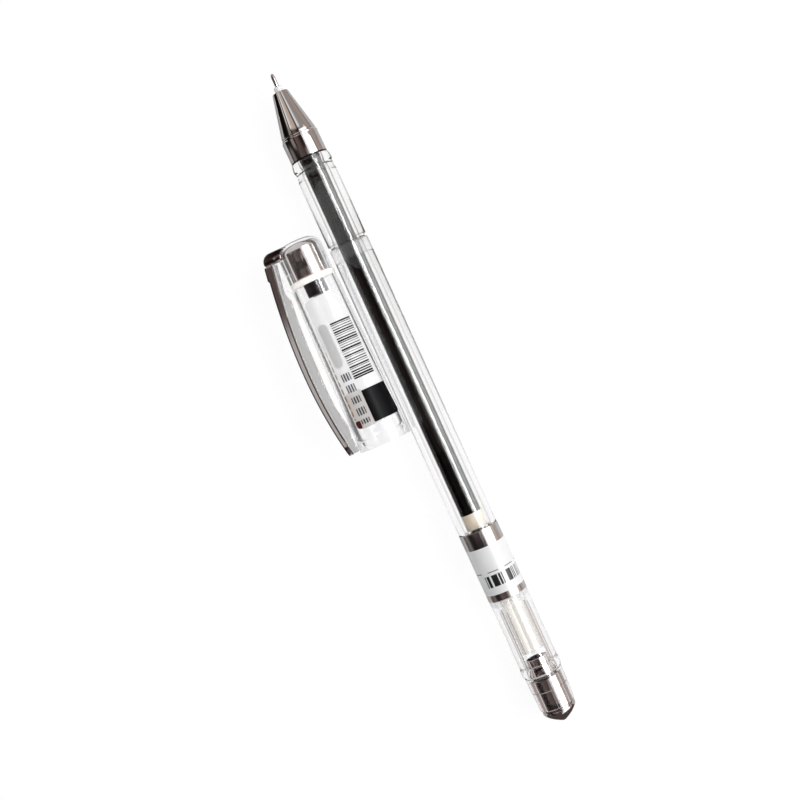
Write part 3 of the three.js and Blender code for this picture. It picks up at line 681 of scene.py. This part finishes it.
def make_cap_shell():
    inner = CAP_CORNER - 0.6
    snap = CAP_LENGTH - 2.2
    profile = [
        (0, 0), *arc(CAP_CORNER, CAP_TOP_RADIUS - CAP_CORNER, CAP_CORNER, 180, 90, 16),
        *[(x, cap_outer(x)) for x in spread(6, CAP_LENGTH - 0.12, 8)],
        (CAP_LENGTH - 0.03, CAP_MOUTH_RADIUS - 0.04), (CAP_LENGTH, CAP_MOUTH_RADIUS - 0.15),
        (CAP_LENGTH, BORE_MOUTH + 0.56), (CAP_LENGTH - 0.06, BORE_MOUTH + 0.48), (FLARE, BORE_MOUTH),
        (snap + 0.35, cap_bore(snap + 0.35)), (snap + 0.15, cap_bore(snap) - 0.07),
        (snap, cap_bore(snap) - 0.12),
        (snap - 0.15, cap_bore(snap) - 0.07), (snap - 0.35, cap_bore(snap - 0.35)),
        *[(x, cap_bore(x)) for x in spread(40, SEAL, 6)],
        *arc(0.6 + inner, BORE_TOP - inner, inner, 90, 180, 10), (0.6, 0),
    ]
    shell = loose(turned("cap_skin", profile, 176, None, 24))
    slot = plate("slot", [(-1, 2.2), (-1, 6), (2.55, 6), (2.55, 2.2)], 4.6, 0)
    boolean(shell, loose(slot), "DIFFERENCE")
    top = facing(5.7) - 0.05 - 0.75 - 0.3
    rib = [(5.7, 4.4), (5.75, top - 0.2), (5.9, top), (8.4, top), (8.65, top - 0.15), (9.9, 4.6)]
    boolean(shell, loose(plate("rib", rib, 3.0, 0.1)), "UNION")
    mesh = shell.data
    for polygon in mesh.polygons:
        polygon.use_smooth = True
    mesh.set_sharp_from_angle(angle=math.radians(24))
    mesh = mesh.copy()
    bpy.data.objects.remove(shell)
    mesh.name = "cap_skin"
    placed("cap_skin", mesh, CAP, "cap", ["cap_shell"], clear_cap)


def make_cap_insert():
    front = 0.594
    profile = [
        (front, 0), *arc(front + 1.5, 3.85 - 1.5, 1.5, 180, 90, 16), (7.65, 3.85), (7.79, 3.79), (7.85, 3.65),
        (7.85, 2.25), (11.7, 2.25), (11.8, 2.15), (11.8, 1.53), (6.65, 1.53), (6.62, 0),
    ]
    mesh = turned("insert_skin", eased(profile, 0.08, closed=False, least=25), 144, None, 28)
    placed("insert_skin", mesh, CAP, "cap", ["cap_insert"], trim_plating)
    mesh.materials.append(dark_spigot)
    for face in mesh.polygons:
        face.material_index = int(face.center.x > 7.87 * MM)
    elbow = [(ELBOW_REAR, 2.5), (ELBOW_REAR, 7.66), *arc(2.05, 5.76, 1.9, 90, 180, 10), (ELBOW_FRONT, 2.5)]
    mesh = plate("insert_elbow", elbow, 4.0, 0.18)
    # The elbow takes the darker plating, which paints shade on it
    placed("insert_elbow", mesh, CAP, "cap", [], elbow_plating_painted_shade)


def make_cap_trim():
    rear = SEAL + 1.1
    profile = [(SEAL, 2.28), (SEAL, cap_bore(SEAL) + 0.006), (rear, cap_bore(rear) + 0.006), (rear, 2.28)]
    mesh = turned("seal_ring_skin", eased(profile, 0.05), 128)
    # The seal ring's plastic carries a painted glow
    placed("seal_ring_skin", mesh, CAP, "cap", ["cap_seal_ring"], ivory_painted_glow)
    rear = 11.4
    depth = rear - 4.7
    profile = [
        (depth, 0), (depth, 1.5), (rear, 1.5), (rear, 1.15),
        (rear - 0.2, 0.95), (depth + 0.3, 0.95), (depth + 0.3, 0),
    ]
    mesh = turned("liner_skin", eased(profile, 0.06, closed=False), 96)
    placed("liner_skin", mesh, CAP, "cap", ["needle_seal"], liner)


def make_cap_film():
    """A rounded patch that follows the shell's side"""
    front, rear, corner = 12.3, 40.0, 1.0
    sides = ((3.45, 4.0), (3.45, 5.0))
    bm = bmesh.new()
    columns, rows = 84, 28
    layers = []
    for lift in (0.02, 0.1):
        grid = []
        for i in range(columns + 1):
            depth = between((0, front), (columns, rear), i)
            inset = max(0, corner - min(depth - front, rear - depth))
            rounding = corner - math.sqrt(max(0, corner**2 - inset**2))
            radius = cap_outer(depth) + lift
            ends = [math.asin((between((front, a), (rear, b), depth) - rounding) / radius) for a, b in sides]
            line = []
            for j in range(rows + 1):
                angle = between((0, -ends[1]), (rows, ends[0]), j)
                line.append(bm.verts.new((depth, -radius * math.sin(angle), radius * math.cos(angle))))
            grid.append(line)
        layers.append(grid)
    for grid in layers:
        for i in range(columns):
            for j in range(rows):
                bm.faces.new((grid[i][j], grid[i + 1][j], grid[i + 1][j + 1], grid[i][j + 1]))
    low, high = layers
    edge = [(i, 0) for i in range(columns)] + [(columns, j) for j in range(rows)]
    edge += [(i, rows) for i in range(columns, 0, -1)] + [(0, j) for j in range(rows, 0, -1)]
    for (i, j), (k, m) in zip(edge, edge[1:] + edge[:1]):
        bm.faces.new((low[i][j], high[i][j], high[k][m], low[k][m]))
    mesh = finished(bm, "cap_film")
    placed("cap_film", mesh, CAP, "cap", ["cap_label"], cap_print)


def loop(depth, inner, outer, half, corner):
    """Section of a bar across the clip: a rounded rectangle from one reach to another"""
    corner = min(corner, 0.45 * (outer - inner), 0.9 * half)
    points = []
    for reach, z, start in (
        (outer - corner, half - corner, 0), (outer - corner, corner - half, 270),
        (inner + corner, corner - half, 180), (inner + corner, half - corner, 90),
    ):
        turn = arc(reach, z, corner, start + 90, start, 4)
        points += [(depth, -r, z0) for r, z0 in turn]
    return points


def make_clip_strip():
    end = STRIP_END
    depths = [STRIP_FRONT, STRIP_FRONT + 0.06, STRIP_FRONT + 0.2, *spread(3.2, 5.1, 4), 5.3, 5.42, 5.55]
    depths += spread(6.0, end - 1.6, 60)
    depths += [end - 1.6 + 1.6 * math.sin(a) for a in spread(0.1, math.pi / 2 - 0.06, 14)]
    sections = []
    for depth in depths:
        if depth < 5.3:
            outer = between((STRIP_FRONT, 7.91), (5.25, 8.3), depth)
        elif depth < 5.55:
            outer = between((5.3, 8.3), (5.55, strip_reach(5.55)), depth)
        else:
            outer = strip_reach(depth)
        inner = facing(depth)
        half = 2.0
        if depth > end - 1.6:
            half = 0.4 + math.sqrt(max(0, 1.6**2 - (depth - end + 1.6) ** 2))
        ease = 0.24 if depth > STRIP_FRONT + 0.1 else 0.24 + (STRIP_FRONT + 0.1 - depth)
        if depth < STRIP_FRONT + 0.1:
            inner, outer, half = inner + 0.08, outer - 0.08, half - 0.08
        sections.append(loop(depth, inner, outer, half, ease))
    mesh = lofted("clip_facing", sections, 10)
    placed("clip_facing", mesh, CAP, "clip", ["clip_strip"], clip_plating)
    # The strip's rounded edges take the near-black plating: painted shade and painted dark reflections; its
    # flat faces stay plated
    mesh.materials.append(painted_shade_plating)
    for face in mesh.polygons:
        face.material_index = int(face.index < len(mesh.vertices) - 20 and face.index % 5 != 4)


def tee(depth, inner, shelf, outer, half, rib, corner):
    """Section of the clip's arm: a bar with a rib on its outer side"""
    outline = [
        (inner, half), (shelf, half), (shelf, rib), (outer, rib),
        (outer, -rib), (shelf, -rib), (shelf, -half), (inner, -half),
    ]
    return [(depth, -reach, z) for reach, z in eased(outline, corner, steps=4)]


def make_clip_arm():
    end = STRIP_END - 0.2
    wedge = cap_outer(WEDGE_PEAK) + 0.2
    land = (WEDGE_PEAK - 0.2, WEDGE_PEAK + 0.2)

    def thickness(depth):
        if depth < PEAK_DEPTH:
            return between((ARM_SWELL, 1.6), (PEAK_DEPTH, 1.85), depth)
        return between((PEAK_DEPTH, 1.85), (STRIP_END, 1.2), depth)

    def inner(depth):
        outer = facing(depth) - SEAT_GAP
        if depth <= ARM_ROOT:
            return outer - 0.75
        if depth < ARM_SWELL:
            return outer - between((ARM_ROOT, 0.75), (ARM_SWELL, 1.6), depth)
        if WEDGE_FRONT < depth < land[0]:
            start = facing(WEDGE_FRONT) - SEAT_GAP - thickness(WEDGE_FRONT)
            return between((WEDGE_FRONT, start), (land[0], wedge), depth)
        if land[0] <= depth <= land[1]:
            return wedge
        if land[1] < depth < WEDGE_END:
            stop = facing(WEDGE_END) - SEAT_GAP - thickness(WEDGE_END)
            return between((land[1], wedge), (WEDGE_END, stop), depth)
        return outer - thickness(depth)

    depths = sorted([
        STRIP_FRONT, STRIP_FRONT + 0.08, *spread(3.0, 8.6, 10), 8.7, 8.8, *spread(9.1, 10.4, 4), 10.5,
        *spread(11.0, 33.8, 46), WEDGE_FRONT, 34.05, *spread(34.4, 38.3, 8),
        38.4, WEDGE_PEAK, 38.8, 38.9, *spread(39.3, 40.6, 4), WEDGE_END, 40.85,
        *spread(41.3, end - 0.5, 4), end - 0.25, end - 0.1, end - 0.03, end,
    ])
    sections = []
    half, rib, rib_height = 1.7, 1.1, 0.5
    for depth in depths:
        outer = facing(depth) - SEAT_GAP
        # The section shrinks at both ends, which rounds them
        drop = max(0, 0.25 - (end - depth), 0.08 - (depth - STRIP_FRONT))
        sections.append(tee(
            depth, inner(depth) + drop * 0.5, outer - rib_height - drop * 0.2, outer - drop * 0.4,
            half - drop * 0.6, rib - drop * 0.5, 0.12,
        ))
    mesh = lofted("clip_clear_arm", sections, 28)
    placed("clip_clear_arm", mesh, CAP, "clip", ["clip_arm"], clear_arm_painted_shade)


make_needle()
make_refill()
make_nose()
make_barrel()
make_tail_plug()
make_barrel_film()
make_cap_shell()
make_cap_insert()
make_cap_trim()
make_cap_film()
make_clip_strip()
make_clip_arm()

# ---------- the studio ----------


def make_floor():
    """A table that shows the camera white and keeps a soft shadow.

    Plating and clear plastic don't see it white. They see tones that were listed, by the angle at which a ray
    meets the table and, near the pen's tail, by fixed places on it.
    """
    bpy.ops.mesh.primitive_plane_add(size=12, location=(0, 0, -0.00006))
    floor = bpy.context.object
    floor.name = "table_top"
    made = bpy.data.materials.new("table_white")
    made.use_nodes = True
    tree = made.node_tree
    tree.nodes.clear()
    wire = Wire(tree)

    def blend(factor, a, b):
        return wire.node("ShaderNodeMixShader", None, {0: factor, 1: a, 2: b})

    def paint(colour):
        return wire.node("ShaderNodeBsdfDiffuse", None, {"Color": colour})

    def glowing(base, glow):
        """A faint share of real shadow on a surface that shows as bright as it is painted"""
        light = wire.node("ShaderNodeEmission", None, {"Color": glow, "Strength": 1.0})
        return wire.node("ShaderNodeAddShader", None, {0: paint(base), 1: light})

    path = wire.node("ShaderNodeLightPath").socket.node.outputs
    glossy, through, camera, depth = (
        Wire(tree, path[k]) for k in ("Is Glossy Ray", "Is Transmission Ray", "Is Camera Ray", "Diffuse Depth")
    )
    glossy = glossy & (1 - through)
    facing = wire.node("ShaderNodeLayerWeight", None, {"Blend": 0.5}, out=1)
    shown = glowing((0.09, 0.09, 0.09), (0.93, 0.93, 0.93))
    # Painted shade for rays through clear plastic: a dark band at glancing angles stands in for the pen's
    # shadow on the table
    tone = facing.ramp((0.0, seen(255, 255, 255)), (0.52, seen(250, 249, 248)), (0.62, seen(136, 127, 122)),
                       (0.82, seen(136, 127, 122)), (0.92, seen(255, 255, 255)))
    along, beside, _ = wire.node("ShaderNodeTexCoord", out=3).split()
    beside = beside / MM - PEN_Y
    # Painted shade: dim lines at fixed places on the table behind the clear tail, seen only through clear
    # plastic, where they show as the dark outlines of its walls
    wide = wire.maths("ABSOLUTE", beside).within(3.3, 5.3) & facing.within(0.05, 0.16)
    edge = facing.within(0.45, 0.97)
    near = beside.within(-4.7, -3.5) & facing.within(0.055, 0.13)
    dim = near.mixed((wide | edge).mixed((1.0, 1.0, 1.0), seen(182, 171, 166)), seen(122, 119, 118))
    tone = ((along > 0.0465) & (wide | edge | near)).mixed(tone, dim)
    behind = glowing((0.04, 0.04, 0.04), tone)
    mirror = wire.node("ShaderNodeBsdfGlossy", None, {"Color": (0.9, 0.9, 0.9), "Roughness": 0.06})
    sheen = blend((facing - 0.58) * 9.0, glowing((0.56, 0.55, 0.55), (0.02, 0.02, 0.02)), mirror)
    # Painted reflections, seen only by rays off shiny faces: a pale patch behind the cap's mouth, and a dark
    # field past the pen's end
    sheen = blend(along.within(0.005, 0.028), sheen, glowing((0.2, 0.2, 0.2), (0.6, 0.6, 0.6)))
    sheen = blend(along > 0.0745, sheen, paint((0.08, 0.065, 0.06)))
    picked = blend(glossy, blend(through, shown, behind), sheen)
    plain_paint = paint((0.82, 0.82, 0.82))
    direct = (camera | glossy | through) & (depth < 0.5)
    final = blend(direct, plain_paint, picked)
    output = tree.nodes.new("ShaderNodeOutputMaterial")
    tree.links.new(final.socket, output.inputs[0])
    floor.data.materials.append(made)


def make_world():
    """White to the camera, an even grey to matt faces, and listed tones for plating and clear plastic.

    Each list holds angles round the pen, in degrees, and the colours that show there.
    """
    world = bpy.data.worlds.new("studio")
    bpy.context.scene.world = world
    world.use_nodes = True
    tree = world.node_tree
    tree.nodes.clear()
    wire = Wire(tree)
    path = wire.node("ShaderNodeLightPath").socket.node.outputs
    camera, glossy, through, depth = (
        Wire(tree, path[k]) for k in ("Is Camera Ray", "Is Glossy Ray", "Is Transmission Ray", "Diffuse Depth")
    )
    x, y, z = wire.node("ShaderNodeTexCoord").split()
    turn = wire.maths("ARCTAN2", y * -1.0, z) / (2 * math.pi) + 0.5
    cone = (
        (-180, (172, 158, 150)), (-76, (170, 157, 149)), (-62, (158, 149, 143)), (-45, (156, 148, 144)),
        (-30, (172, 168, 168)), (-24, (236, 240, 244)), (-15, (240, 244, 248)), (-11, (130, 124, 124)),
        (-7, (52, 42, 42)), (-3, (110, 98, 94)), (2, (190, 174, 163)), (25, (206, 192, 182)),
        (31, (214, 204, 196)), (35, (255, 255, 255)), (40, (255, 255, 255)), (44, (80, 70, 68)),
        (49, (60, 52, 50)), (53, (214, 206, 202)), (59, (232, 228, 224)),
        (63, (36, 32, 31)), (75, (22, 19, 18)), (85, (10, 9, 8)), (180, (12, 11, 10)),
    )
    skirt = (
        (-180, (172, 158, 150)), (-76, (170, 157, 149)), (-68, (158, 149, 143)), (-26, (158, 152, 152)),
        (-13, (96, 88, 87)), (-9, (45, 35, 34)), (-3, (33, 22, 21)), (4, (46, 34, 32)), (15, (86, 71, 69)),
        (28, (104, 88, 84)), (35, (94, 79, 76)), (38.5, (34, 24, 23)), (42, (34, 24, 23)),
        (45, (126, 116, 112)), (55, (152, 141, 137)), (62, (132, 123, 120)), (66, (36, 32, 31)),
        (75, (22, 19, 18)), (85, (10, 9, 8)), (180, (12, 11, 10)),
    )
    rest = (
        (-180, (150, 146, 144)), (-100, (160, 152, 148)), (-90, (170, 160, 153)), (-80, (192, 182, 175)),
        (-70, (188, 178, 171)), (-12, (170, 162, 160)), (-8, (165, 158, 157)), (-3, (135, 127, 126)),
        (2, (98, 87, 86)), (4, (88, 76, 74)), (9, (66, 54, 53)), (15, (85, 72, 71)), (24, (85, 72, 71)),
        (32, (96, 84, 83)), (38, (96, 86, 85)),
        (44, (72, 62, 60)), (50, (40, 32, 31)), (66, (24, 21, 20)), (72, (50, 44, 43)), (80, (105, 98, 95)),
        (90, (130, 126, 123)), (180, (150, 147, 145)),
    )
    cone, skirt, rest = (
        turn.ramp(*((angle / 360 + 0.5, seen(*tone)) for angle, tone in tones)) for tones in (cone, skirt, rest)
    )
    room = ((x + 0.153) / 0.007).mixed(((x + 0.55) / 0.02).mixed(cone, skirt), rest)
    room = (x.within(-0.005, 0.15) & turn.within(0.32, 0.68)).mixed(room, seen(14, 12, 12))
    panel = (x > -0.50) & turn.within(0.5 - 62 / 360, 0.5 - 12 / 360)
    room = panel.mixed(room, (1.05, 1.05, 1.05))
    silver = ((x + 0.092) / 0.02) & (x < 0.03) & turn.within(0.5 + 2 / 360, 0.5 + 4.8 / 360)
    room = silver.mixed(room, seen(205, 203, 202))
    room = (through & ((x < -0.3) | (x > 0.36))).mixed(room, (0.75, 0.75, 0.75))
    white = (1.0, 1.0, 1.0)
    level = wire.maths("ABSOLUTE", z) < math.sin(math.radians(4))
    room = (level & through).mixed(room, (x > 0.22).mixed(white, seen(150, 146, 145)))
    ambient = (0.54, 0.54, 0.545)
    direct = (glossy | through) & (depth < 0.5)
    shown = direct.mixed(ambient, room)
    shown = (through & (depth > 0.5)).mixed(shown, (0.8, 0.8, 0.8))
    shown = camera.mixed(shown, white)
    background = wire.node("ShaderNodeBackground", None, {"Color": shown, "Strength": 1.0})
    output = tree.nodes.new("ShaderNodeOutputWorld")
    tree.links.new(background.socket, output.inputs[0])


def make_lamp(name, place, width, length, radiance, glint=False, aim=(0, 0, 0.004)):
    """A rectangular soft lamp, its long side along the pen"""
    light = bpy.data.lights.new(name, "AREA")
    light.shape = "RECTANGLE"
    light.size = length
    light.size_y = width
    light.energy = radiance * math.pi * width * length
    lamp = bpy.data.objects.new(name, light)
    bpy.context.scene.collection.objects.link(lamp)
    lamp.location = place
    back = (Vector(place) - Vector(aim)).normalized()
    side = Vector((1, 0, 0))
    up = back.cross(side).normalized()
    side = up.cross(back)
    lamp.rotation_euler = Matrix((side, up, back)).transposed().to_euler()
    lamp.visible_camera = False
    lamp.visible_diffuse = not glint
    return lamp


def make_camera():
    """Above the pen, its tip up and to the left"""
    data = bpy.data.cameras.new("camera")
    data.sensor_width = 36
    data.lens = 18 / math.tan(math.radians(34.66 / 2))
    data.clip_start = 0.005
    camera = bpy.data.objects.new("camera", data)
    bpy.context.scene.collection.objects.link(camera)
    data.shift_x, data.shift_y = 0.03054, -0.06725
    lean = math.radians(65.57)
    camera.matrix_world = Matrix.Translation((-0.01285, 0.00392, 0.2642)) @ Matrix.Rotation(lean, 4, "Z")
    bpy.context.scene.camera = camera


make_floor()
make_world()
make_lamp("broad_lamp", (0.05, 0.34, 0.34), 0.34, 0.7, 2.4)
make_lamp("bright_strip", (0.05, 0.224, 0.404), 0.055, 0.6, 26.0, glint=True)
make_camera()

scene = bpy.context.scene
scene.view_settings.view_transform = "Standard"
scene.cycles.blur_glossy = 0.0
